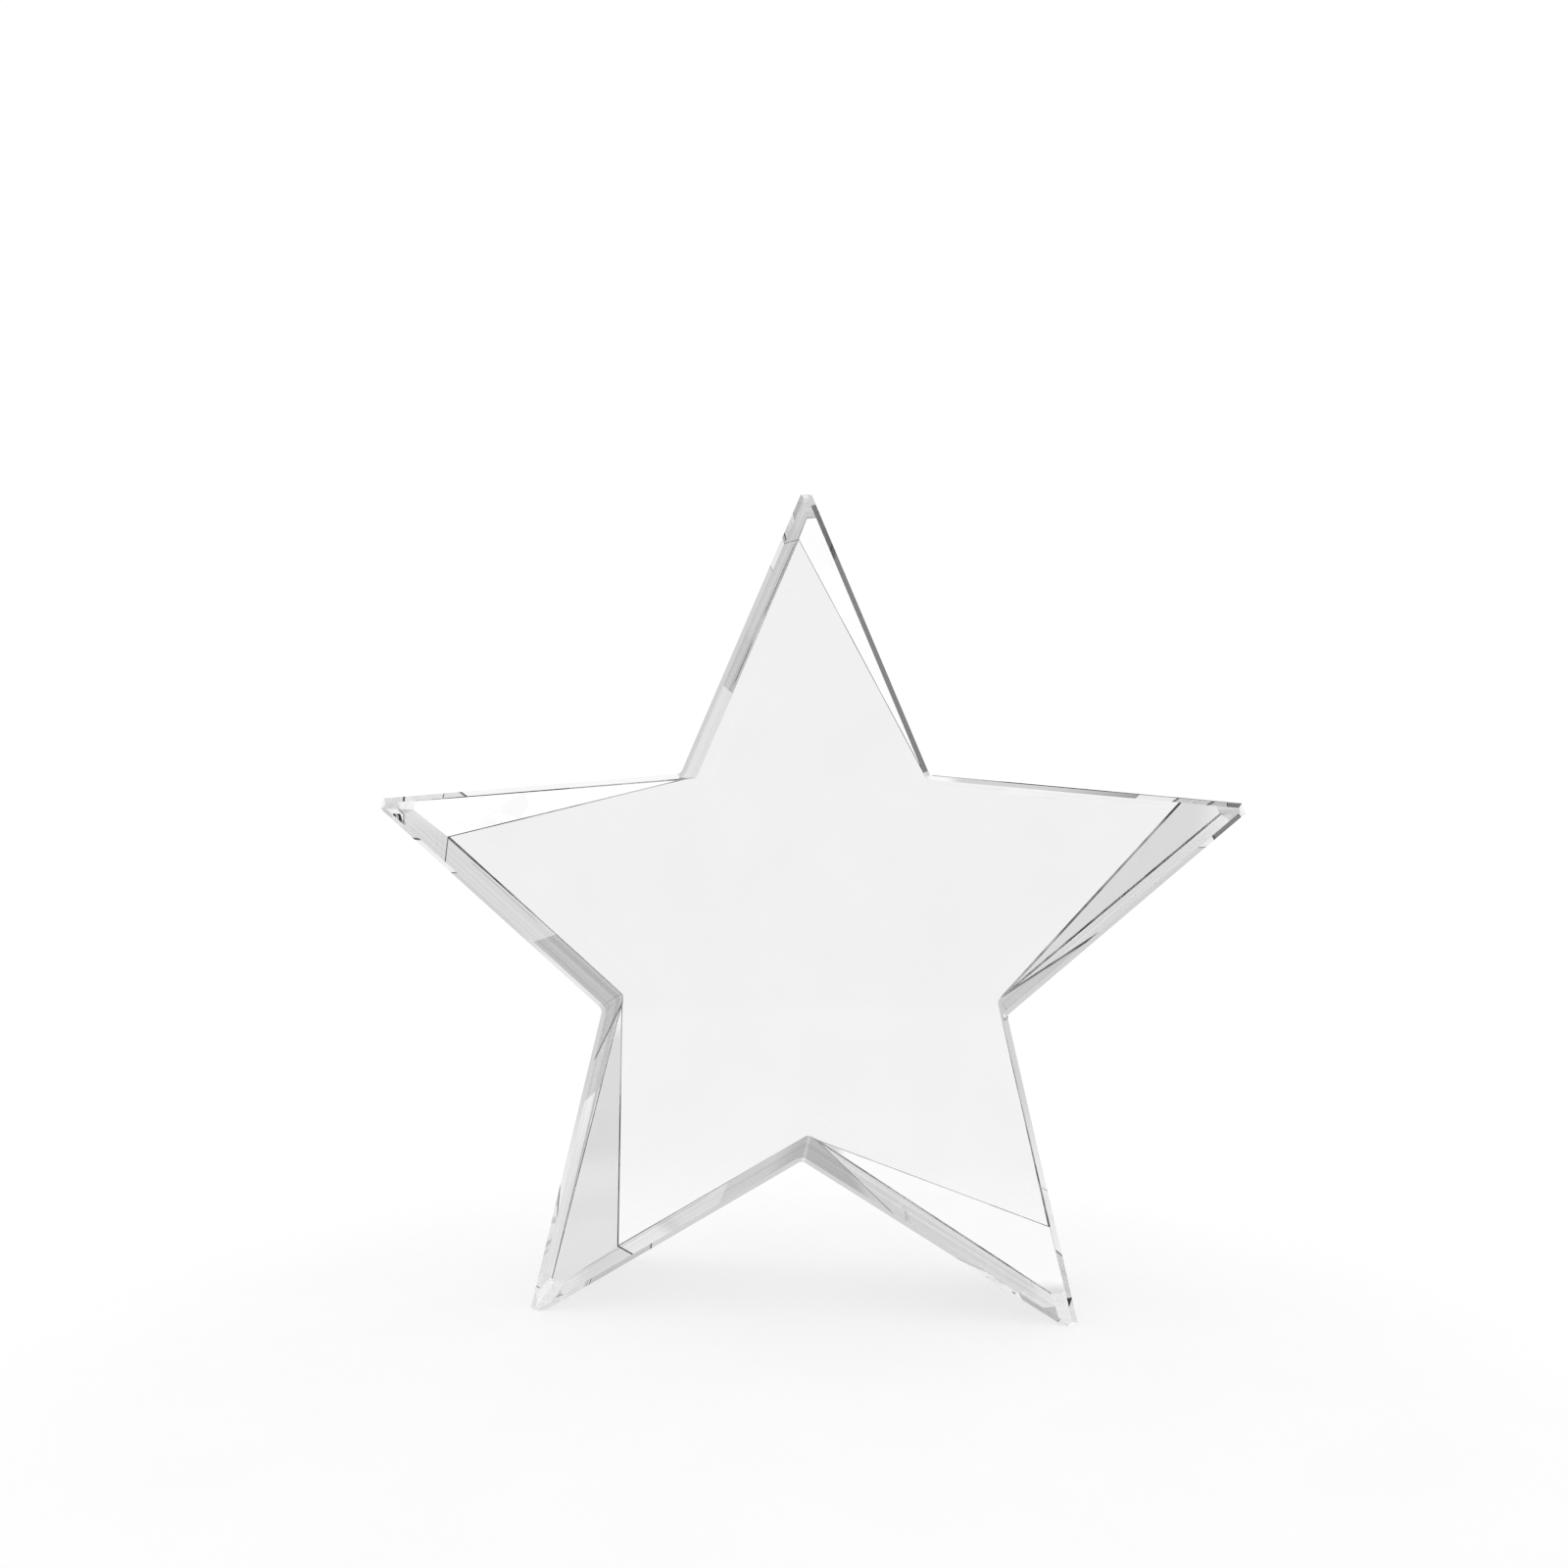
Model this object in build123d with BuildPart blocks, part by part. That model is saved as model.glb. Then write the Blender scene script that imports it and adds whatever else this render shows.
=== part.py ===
"""Star trophy: one solid block of clear crystal, cut to a five-pointed star.

It stands on its two lower points. The front is one flat face with a narrow polished bevel round
its edge, and the back has one long flat facet on each point. Millimetres, +Z up, front towards -Y,
origin on the table in the middle of the footprint.
"""
import os
from math import cos, hypot, pi, sin, tan

from build123d import *

os.makedirs("parts", exist_ok=True)

# Driving dimensions
points = 5
tip_radius = 56.0  # centre to the sharp corner of a point, before the tip is ground off
notch_radius = 25.5  # centre to the corner of a notch between two points
thickness = 24.0
tip_flat = 1.3  # width of the flat ground across each tip
foot_flat = 1.4  # width of the level strip that each lower point stands on
notch_fillet = 0.8  # the cutter's radius in each notch
bevel = 0.62  # polished bevel round the front face

# Facets on the back, clockwise from the top point as seen from the front. All are ground at one
# angle, but by hand, so each one's line starts at its own place on the point's flank: this is
# the distance from the sharp tip as a fraction of the flank's length
facet_angle = 33.0
facet_starts = (0.115, 0.15, 0.235, 0.25, 0.185)
facet_end = 0.03  # each line stops this fraction of the other flank short of the notch
clearance = 20.0  # how far the cutting tools reach past the block


def on_circle(radius, step):
    """A place on a circle about the star's centre, in steps of one point, clockwise from the top."""
    angle = 2 * pi * step / points
    return Vector(radius * sin(angle), radius * cos(angle))


def along(start, end, distance):
    """The place this far from start towards end."""
    return start + (end - start).normalized() * distance


tips = [on_circle(tip_radius, i) for i in range(points)]
notches = [on_circle(notch_radius, i + 0.5) for i in range(points)]

# Each tip is ground square to its own axis, which shortens both of its flanks by this much
flank = notches[0] - tips[0]
grind = tip_flat / 2 * flank.length / abs(flank.X)

outline = []
for i in range(points):
    outline += [along(tips[i], notches[i - 1], grind), along(tips[i], notches[i], grind), notches[i]]

# The two lower points are ground level until the strip is foot_flat wide: the strip spreads along
# the tip's own flat, which leans by half a step, and along the point's inner flank
lower_tip, middle_notch = tips[points // 2], notches[points // 2]
inner_slope = (middle_notch.Y - lower_tip.Y) / (lower_tip.X - middle_notch.X)
foot_grind = foot_flat / (1 / tan(pi / points) + 1 / inner_slope)
lift = -min(corner.Y for corner in outline) - foot_grind


def on_back(place):
    """An outline place on the back face of the standing star."""
    return Vector(place.X, thickness / 2, place.Y + lift)


def facet_plane(i):
    """A point's facet: origin by the notch, X along the facet's line, Z out of the back."""
    line_end = on_back(along(notches[i], tips[i], facet_end * flank.length))
    line_start = on_back(along(tips[i], notches[i - 1], facet_starts[i] * flank.length))
    line = Axis(line_end, line_start - line_end)
    normal = Vector(0, 1, 0).rotate(line, -facet_angle)
    return Plane(origin=line_end, x_dir=line.direction, z_dir=normal)


with BuildPart() as crystal_star:
    with BuildSketch(Plane.XZ):
        with BuildLine():
            Polyline(*[(corner.X, corner.Y + lift) for corner in outline], close=True)
        make_face()
        notch_reach = notch_radius + tip_flat
        fillet(vertices().filter_by(lambda v: hypot(v.X, v.Y - lift) < notch_reach), notch_fillet)
    extrude(amount=thickness / 2, both=True)
    chamfer(faces().sort_by(Axis.Y)[0].edges(), bevel)
    split(bisect_by=Plane.XY, keep=Keep.TOP)
    for i in range(points):
        plane = facet_plane(i)
        tip = plane.to_local_coords(on_back(tips[i]))
        off_flank = Vector(-tip.Y, tip.X).normalized() * clearance
        with BuildSketch(plane):
            with BuildLine():
                Polyline(
                    (0, 0),
                    (tip.X + clearance, 0),
                    (tip.X + clearance, tip.Y),
                    (tip.X + off_flank.X, tip.Y + off_flank.Y),
                    (off_flank.X, off_flank.Y),
                    close=True,
                )
            make_face()
        extrude(amount=clearance, mode=Mode.SUBTRACT)
crystal_star.part.label = "crystal_star"
export_step(crystal_star.part, "parts/crystal_star.step")
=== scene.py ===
"""Looks of the star trophy: a five-pointed star cut from one block of clear crystal."""
from math import degrees, radians

import bpy
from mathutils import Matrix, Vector


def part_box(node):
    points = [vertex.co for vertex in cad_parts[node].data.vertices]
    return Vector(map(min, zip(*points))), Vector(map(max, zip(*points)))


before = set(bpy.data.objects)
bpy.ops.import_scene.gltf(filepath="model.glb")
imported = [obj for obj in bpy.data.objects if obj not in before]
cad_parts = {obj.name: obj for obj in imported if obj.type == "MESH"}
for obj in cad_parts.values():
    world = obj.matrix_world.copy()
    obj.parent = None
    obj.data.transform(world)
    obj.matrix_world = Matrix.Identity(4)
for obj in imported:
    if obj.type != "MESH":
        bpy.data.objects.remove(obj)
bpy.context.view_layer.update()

# --------------------------------------------------------------------------- sizes, in metres
star_name = "crystal_star"
low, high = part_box(star_name)
middle = (low + high) / 2

# Camera: eye from the middle of the box, then how it is turned from looking level along +Y
eye_offset = Vector((0.0094, -0.1877, 0.0091))
camera_pitch = 1.654
camera_roll = -0.388
camera_yaw = 3.833
lens_mm = 33.75
sensor_mm = 36.0
nearest_seen = 0.01

# The star has five points with a flank on each side, numbered clockwise from the top as seen from
# the front. Flank 0 is the top point's right one
flanks = 10
centre = Vector((middle.x, middle.y, high.z - 0.0545))  # of the circle through the five tips
bevel_back = -0.0116  # y of the back of the front bevel, less a little
tip_zone = 0.0495  # this far from the centre and further, edges belong to a ground tip

# Broken edges, which carry painted dark lines as shade. Widths are shares of the widest one: the
# lines between facet and back for each point, then the back edges and the outer front edges for
# each flank
widest_arris = 0.00016
shortest_arris = 0.0005  # edges no longer than this stay sharp
line_widths = (0.28, 1.0, 0.20, 0.60, 0.28)
back_widths = (0.55, 0.40, 1.00, 0.80, 0.75, 0.35, 0.85, 1.00, 0.15, 0.15)
front_widths = (1.0, 1.0, 0.0, 0.0, 0.0, 0.0, 0.0, 0.0, 0.0, 0.0)
sharp_angle = radians(20)  # the joins within a rounded notch turn less than this
facet_line_angle = radians(42)  # a facet meets the back at less than this, and a flank at more
same_place = 1e-6
same_plane = radians(0.3)

glass_index = 1.52
light_bounces = 24


# --------------------------------------------------------------------------- node helpers
class Nodes:
    """Builds a node tree with one short call for each node."""

    def __init__(self, tree):
        self.tree = tree
        tree.nodes.clear()

    def add(self, kind, inputs=None, **settings):
        node = self.tree.nodes.new(kind)
        for name, value in settings.items():
            setattr(node, name, value)
        for name, value in (inputs or {}).items():
            socket = node.inputs[name]
            if isinstance(value, bpy.types.NodeSocket):
                self.tree.links.new(value, socket)
            else:
                socket.default_value = value
        return node

    def math(self, operation, a, b=0.0):
        return self.add("ShaderNodeMath", {0: a, 1: b}, operation=operation).outputs[0]

    def ramp(self, value, start, end, low=0.0, high=1.0):
        """Runs smoothly from low to high as value goes from start to end."""
        sockets = {"Value": value, "From Min": start, "From Max": end}
        sockets.update({"To Min": low, "To Max": high})
        node = self.add("ShaderNodeMapRange", sockets, interpolation_type="SMOOTHSTEP")
        return node.outputs[0]

    def mix(self, factor, a, b):
        """Two numbers mixed."""
        return self.add("ShaderNodeMix", {0: factor, 2: a, 3: b}, data_type="FLOAT").outputs[0]

    def dot(self, a, b):
        node = self.add("ShaderNodeVectorMath", {0: a, 1: b}, operation="DOT_PRODUCT")
        return node.outputs["Value"]

    def pick(self, index, values):
        """The value whose number is index."""
        chosen = values[0]
        for number, value in enumerate(values):
            away = self.math("ABSOLUTE", self.math("SUBTRACT", index, number))
            chosen = self.mix(self.math("LESS_THAN", away, 0.5), chosen, value)
        return chosen

    def noise(self, place, scale, detail):
        sockets = {"Vector": place, "Scale": scale, "Detail": detail}
        return self.add("ShaderNodeTexNoise", sockets).outputs["Fac"]

    def grey(self, tone):
        return self.add("ShaderNodeCombineColor", {0: tone, 1: tone, 2: tone}).outputs[0]

    def star_place(self, place):
        """Place from the star's centre: its three axes, its length and its turn in flanks."""
        offset = self.add("ShaderNodeVectorMath", {0: place, 1: centre}, operation="SUBTRACT")
        out = offset.outputs[0]
        axes = self.add("ShaderNodeSeparateXYZ", {0: out}).outputs
        radius = self.add("ShaderNodeVectorMath", {0: out}, operation="LENGTH").outputs["Value"]
        turn = self.math("DIVIDE", self.math("ARCTAN2", axes[0], axes[2]), radians(360 / flanks))
        return axes, radius, self.math("WRAP", turn, flanks)

    def point_number(self, turn):
        """Which of the five points a turn in flanks falls in."""
        from_left_flank = self.math("WRAP", self.math("ADD", turn, 1.0), flanks)
        return self.math("FLOOR", self.math("MULTIPLY", from_left_flank, 0.5))


# --------------------------------------------------------------------------- studio
# How bright the studio is, by direction. Each card spans degrees right of straight behind the
# object and degrees above the horizon, and leans so many degrees right for each degree up from its
# foot. Then come the width of its soft border and its brightness. Later cards cover earlier ones
open_level = 0.70
camera_side_level = 0.85
backdrop_level = 1.02
cards = (
    ((-180, 180), (45, 91), 0, 14.0, 1.10),
    ((-180, 180), (-91, -34), 0, 8.0, 0.95),
    ((24, 110), (-30, 45), 0, 6.0, 1.10),
    ((-110, -32), (-30, 45), 0, 4.0, 1.00),
    ((-32, 30), (24, 45), 0, 5.0, 1.12),
    ((-2.5, 9.0), (10.6, 18), 0, 2.0, 0.92),
    ((-17.0, 12.4), (-8, 2.6), 0, 0.8, 0.905),
    ((-17.0, 7.0), (-17.8, -7), 0.1, 0.8, 0.92),
    ((-8.2, 1.6), (1.5, 12), 0.42, 0.8, 0.905),
    ((4.8, 15.0), (1.4, 7), 0, 0.5, 0.99),
    ((-17.5, 0.5), (-32, -17.6), 0, 0.8, 1.07),
    ((-23.3, -17.2), (-10, 4), 0, 0.6, 1.03),
    ((-31.0, -23.3), (-12, 5), 0, 0.6, 0.18),
    ((-4.0, 10.0), (-40, -26.0), 0, 0.8, 0.20),
    ((19.2, 25.0), (-24, -14.0), 0, 0.6, 0.18),
)


def make_world():
    """Plain white to look at, and cards to look at through the crystal."""
    world = bpy.data.worlds.new("studio")
    bpy.context.scene.world = world
    world.use_nodes = True
    n = Nodes(world.node_tree)
    direction = n.add("ShaderNodeTexCoord").outputs["Generated"]
    axes = n.add("ShaderNodeSeparateXYZ", {0: direction}).outputs
    azimuth = n.math("MULTIPLY", n.math("ARCTAN2", axes[0], axes[1]), degrees(1))
    elevation = n.math("MULTIPLY", n.math("ARCSINE", axes[2]), degrees(1))

    def inside(value, span, soft):
        rise = n.ramp(value, span[0] - soft / 2, span[0] + soft / 2)
        fall = n.ramp(value, span[1] + soft / 2, span[1] - soft / 2)
        return n.math("MULTIPLY", rise, fall)

    level = n.ramp(axes[1], -0.1, -0.7, open_level, camera_side_level)
    for across, up, lean, soft, value in cards:
        place = azimuth
        if lean:
            rise = n.math("MULTIPLY", n.math("SUBTRACT", elevation, up[0]), lean)
            place = n.math("SUBTRACT", azimuth, rise)
        mask = n.math("MULTIPLY", inside(place, across, soft), inside(elevation, up, soft))
        level = n.mix(mask, level, value)
    seen = n.add("ShaderNodeLightPath").outputs["Is Camera Ray"]
    strength = n.mix(seen, level, backdrop_level)
    background = n.add("ShaderNodeBackground", {"Color": (1, 1, 1, 1), "Strength": strength})
    n.add("ShaderNodeOutputWorld", {"Surface": background.outputs[0]})


floor_size = 1.0
floor_forward = 0.03  # how far the floor's middle lies in front of the star
floor_fade = (0.06, 0.12)  # it fades into the backdrop between these distances from its middle
floor_glow = 1.02
floor_glow_share = 0.68  # the rest is plain paper, which takes the star's shadow


def make_floor():
    place = (middle.x, middle.y - floor_forward, low.z)
    bpy.ops.mesh.primitive_plane_add(size=floor_size, location=place)
    floor = bpy.context.object
    floor.name = "floor"
    material = bpy.data.materials.new("pale_floor")
    material.use_nodes = True
    n = Nodes(material.node_tree)
    spot = n.add("ShaderNodeTexCoord").outputs["Object"]
    tone = n.ramp(n.noise(spot, scale=60.0, detail=4.0), 0.3, 0.7, 0.90, 0.93)
    paper = n.add("ShaderNodeBsdfDiffuse", {"Color": n.grey(tone)}).outputs[0]
    lit = n.add("ShaderNodeEmission", {"Color": (1, 1, 1, 1), "Strength": floor_glow}).outputs[0]
    table = n.add("ShaderNodeMixShader", {0: floor_glow_share, 1: paper, 2: lit}).outputs[0]
    clear = n.add("ShaderNodeBsdfTransparent").outputs[0]
    radius = n.add("ShaderNodeVectorMath", {0: spot}, operation="LENGTH").outputs["Value"]
    far = n.ramp(radius, *floor_fade)
    both = n.add("ShaderNodeMixShader", {0: far, 1: table, 2: clear}).outputs[0]
    n.add("ShaderNodeOutputMaterial", {"Surface": both})
    floor.data.materials.append(material)


def make_camera():
    data = bpy.data.cameras.new("camera")
    data.lens = lens_mm
    data.sensor_width = sensor_mm
    data.clip_start = nearest_seen
    camera = bpy.data.objects.new("camera", data)
    bpy.context.scene.collection.objects.link(camera)
    camera.location = middle + eye_offset
    level_along_y = 90
    turned = (level_along_y + camera_pitch, camera_roll, camera_yaw)
    camera.rotation_euler = [radians(angle) for angle in turned]
    bpy.context.scene.camera = camera


# --------------------------------------------------------------------------- crystal
# Painted shade on the ground flanks: a thin dark layer, set flank by flank. These are the shares of
# light that it swallows on each flank: everywhere, in fine streaks on the back half, and in one
# broken line along the flank
flank_painted_shade = (0.15, 0.15, 0.34, 0.33, 0.35, 0.22, 0.45, 0.23, 0.15, 0.38)
flank_painted_streaks = (0.0, 0.0, 0.0, 0.3, 0.0, 0.5, 0.2, 0.15, 0.0, 0.6)
flank_painted_lines = (0.0, 0.0, 0.0, 0.3, 0.0, 0.4, 0.0, 0.5, 0.0, 0.95)
streaks_from = (0.001, 0.006)  # the streaks set in between these distances behind the middle
line_depth = 0.0086  # how far behind the middle the broken line runs
line_edge = (0.0007, 0.0003)  # from where it begins to where it is full, out from its middle
tip_painted_shade = 0.75  # towards the tips the painted shade thins to this share
tip_painted_shade_radii = (0.054, 0.050)

# Painted shade on the front bevel: the share of light it swallows there
bevel_painted_shade = 0.09
facet_painted_shade = (0.0, 0.0, 0.0, 0.19, 0.0)  # painted shade for each point's facet, on its part near the table
near_table_heights = (-0.0295, -0.036)  # from the star's centre


def band(n, value, rise, fall):
    """One between the two soft borders, nought outside them."""
    return n.math("MULTIPLY", n.ramp(value, *rise), n.ramp(value, *fall))


def painted_flank_shade(n, spot, axes, radius, turn):
    """The share of light that the painted shade on the flanks swallows, in marks along the
    grinding.
    """
    number = n.math("FLOOR", turn)

    def marks(lengthwise, through):
        scale = (lengthwise, through, lengthwise)
        stretch = n.add("ShaderNodeVectorMath", {0: spot, 1: scale}, operation="MULTIPLY")
        return n.noise(stretch.outputs[0], scale=1.0, detail=2.0)

    uneven = n.ramp(marks(22, 330), 0.35, 0.65, 0.86, 1.14)
    painted_shade = n.math("MULTIPLY", n.pick(number, flank_painted_shade), uneven)
    painted_shade = n.math("MULTIPLY", painted_shade, n.ramp(radius, *tip_painted_shade_radii, tip_painted_shade, 1.0))
    streak = n.math("MULTIPLY", n.ramp(marks(24, 420), 0.50, 0.58), n.pick(number, flank_painted_streaks))
    streak = n.math("MULTIPLY", streak, n.ramp(axes[1], *streaks_from))
    off_line = n.math("ABSOLUTE", n.math("SUBTRACT", axes[1], line_depth))
    line = n.math("MULTIPLY", n.ramp(off_line, *line_edge), n.ramp(marks(75, 40), 0.45, 0.52))
    line = n.math("MULTIPLY", line, n.pick(number, flank_painted_lines))
    return n.math("MAXIMUM", n.math("MAXIMUM", painted_shade, streak), line)


def crystal_material():
    """Clear and polished on the front and the back, with painted shade on the flanks and the bevel.
    """
    material = bpy.data.materials.new("clear_crystal")
    material.use_nodes = True
    n = Nodes(material.node_tree)
    spot = n.add("ShaderNodeTexCoord").outputs["Object"]
    axes, radius, turn = n.star_place(spot)

    # Which face this is, by how much of its normal lies along Y: none on a flank, 0.71 on the
    # bevel, 0.84 on a facet, and 1 on the front and the back
    facing = n.dot(n.add("ShaderNodeNewGeometry").outputs["True Normal"], (0, 1, 0))
    tilt = n.math("ABSOLUTE", facing)
    on_flank = n.ramp(tilt, 0.25, 0.15)
    on_bevel = band(n, facing, rise=(-0.80, -0.78), fall=(-0.60, -0.62))
    on_facet = band(n, tilt, rise=(0.76, 0.80), fall=(0.92, 0.88))

    smear = n.noise(spot, scale=90.0, detail=3.0)
    glass = n.add(
        "ShaderNodeBsdfPrincipled",
        {
            "Base Color": n.grey(n.ramp(smear, 0.3, 0.7, 0.965, 0.985)),
            "Roughness": n.math("MULTIPLY", on_flank, n.ramp(smear, 0.3, 0.7, 0.0, 0.005)),
            "IOR": glass_index,
            "Transmission Weight": 1.0,
        },
    ).outputs[0]

    # The painted shade on the flanks and facets counts where a line of sight first meets it from
    # inside the crystal. Counted at every inner reflection, it would turn the block smoky from the
    # side
    depth = n.add("ShaderNodeLightPath").outputs["Ray Depth"]
    off_first = n.math("MINIMUM", n.math("ABSOLUTE", n.math("SUBTRACT", depth, 1.0)), 1.0)
    painted_shade = n.math("MULTIPLY", on_flank, painted_flank_shade(n, spot, axes, radius, turn))
    # Painted shade on each facet's part near the table
    near_table = n.ramp(axes[2], *near_table_heights)
    painted_facet_shade = n.math("MULTIPLY", n.pick(n.point_number(turn), facet_painted_shade), near_table)
    painted_shade = n.math("MAXIMUM", painted_shade, n.math("MULTIPLY", on_facet, painted_facet_shade))
    painted_shade = n.math("MULTIPLY", painted_shade, n.math("SUBTRACT", 1.0, off_first))
    # The bevel's painted shade counts at every ray depth
    painted_shade = n.math("MAXIMUM", painted_shade, n.math("MULTIPLY", on_bevel, bevel_painted_shade))
    # A near-black layer mixed into the glass: this is the painted shade
    painted_dark = n.add("ShaderNodeBsdfDiffuse", {"Color": (0.01, 0.01, 0.01, 1)}).outputs[0]
    both = n.add("ShaderNodeMixShader", {0: painted_shade, 1: glass, 2: painted_dark}).outputs[0]
    n.add("ShaderNodeOutputMaterial", {"Surface": both})
    return material


def arris_material():
    """The broken edges: finely ground, with thin dark lines painted on them as shade that come and
    go.
    """
    material = bpy.data.materials.new("painted_dark_edge")
    material.use_nodes = True
    n = Nodes(material.node_tree)
    spot = n.add("ShaderNodeTexCoord").outputs["Object"]
    grain = n.noise(spot, scale=400.0, detail=2.0)
    drift = n.noise(spot, scale=70.0, detail=1.0)
    glass = n.add(
        "ShaderNodeBsdfPrincipled",
        {
            "Base Color": (0.9, 0.9, 0.9, 1),
            "Roughness": n.ramp(grain, 0.3, 0.7, 0.1, 0.3),
            "IOR": glass_index,
            "Transmission Weight": 1.0,
        },
    ).outputs[0]
    # Near-black patches painted along the edges as shade
    painted_dark = n.add("ShaderNodeBsdfDiffuse", {"Color": (0.02, 0.02, 0.025, 1)}).outputs[0]
    share = n.ramp(n.mix(0.3, drift, grain), 0.38, 0.6, 0.45, 0.97)
    both = n.add("ShaderNodeMixShader", {0: share, 1: glass, 2: painted_dark}).outputs[0]
    n.add("ShaderNodeOutputMaterial", {"Surface": both})
    return material


def edge_widths(n):
    """The width of each edge's arris as a share of the widest, by where the edge lies."""
    angle = n.add("GeometryNodeInputMeshEdgeAngle").outputs["Unsigned Angle"]
    axes, radius, turn = n.star_place(n.add("GeometryNodeInputPosition").outputs[0])
    ends = n.add("GeometryNodeInputMeshEdgeVertices").outputs
    span = {0: ends["Position 1"], 1: ends["Position 2"]}
    along = n.add("ShaderNodeVectorMath", span, operation="SUBTRACT").outputs[0]
    unit = n.add("ShaderNodeVectorMath", {0: along}, operation="NORMALIZE").outputs[0]
    length = n.add("ShaderNodeVectorMath", {0: along}, operation="LENGTH").outputs["Value"]
    across_block = n.math("GREATER_THAN", n.math("ABSOLUTE", n.dot(unit, (0, 1, 0))), 0.9)
    flank = n.math("FLOOR", turn)
    point = n.point_number(turn)
    facet_line = n.math("LESS_THAN", angle, facet_line_angle)
    behind = n.mix(facet_line, n.pick(flank, back_widths), n.pick(point, line_widths))
    outer_front = n.math("GREATER_THAN", axes[1], bevel_back)
    front = n.math("MULTIPLY", n.pick(flank, front_widths), outer_front)
    width = n.mix(n.math("GREATER_THAN", axes[1], 0.0), front, behind)
    sharp = n.math("GREATER_THAN", angle, sharp_angle)
    sharp = n.math("MULTIPLY", sharp, n.math("GREATER_THAN", length, shortest_arris))
    plain = n.math("LESS_THAN", radius, tip_zone)
    plain = n.math("MULTIPLY", plain, n.math("SUBTRACT", 1.0, across_block))
    return n.math("MULTIPLY", width, n.math("MULTIPLY", sharp, plain))


def break_edges(star):
    """Joins the triangles of each flat face, then bevels the edges by the widths above."""
    weld = star.modifiers.new("weld", "WELD")
    weld.merge_threshold = same_place
    merge = star.modifiers.new("merge", "DECIMATE")
    merge.decimate_type = "DISSOLVE"
    merge.angle_limit = same_plane
    group = bpy.data.node_groups.new("edge_widths", "GeometryNodeTree")
    group.interface.new_socket("Geometry", in_out="INPUT", socket_type="NodeSocketGeometry")
    group.interface.new_socket("Geometry", in_out="OUTPUT", socket_type="NodeSocketGeometry")
    n = Nodes(group)
    start = n.add("NodeGroupInput").outputs[0]
    stored_normals = {"Geometry": start, "Name": "custom_normal"}
    bare = n.add("GeometryNodeRemoveAttribute", stored_normals).outputs[0]
    flat = n.add("GeometryNodeSetShadeSmooth", {"Geometry": bare, "Shade Smooth": False}).outputs[0]
    store = n.add(
        "GeometryNodeStoreNamedAttribute",
        {"Geometry": flat, "Name": "bevel_weight_edge", "Value": edge_widths(n)},
        data_type="FLOAT",
        domain="EDGE",
    ).outputs[0]
    n.add("NodeGroupOutput", {0: store})
    star.modifiers.new("widths", "NODES").node_group = group
    edge = star.modifiers.new("arris", "BEVEL")
    edge.width = widest_arris
    edge.segments = 1
    edge.limit_method = "WEIGHT"
    edge.material = 1  # the slot with the painted dark edge material
    edge.use_clamp_overlap = False


# --------------------------------------------------------------------------- the scene
make_world()
make_floor()
make_camera()
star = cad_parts[star_name]
star.data.materials.append(arris_material())
star.material_slots[0].link = "OBJECT"
star.material_slots[0].material = crystal_material()
break_edges(star)
bpy.context.scene.view_settings.view_transform = "Standard"
# Light is followed through enough inner reflections to find its way out of the crystal's tips
light_paths = bpy.context.scene.cycles
light_paths.max_bounces = light_bounces
light_paths.glossy_bounces = light_bounces
light_paths.transmission_bounces = light_bounces
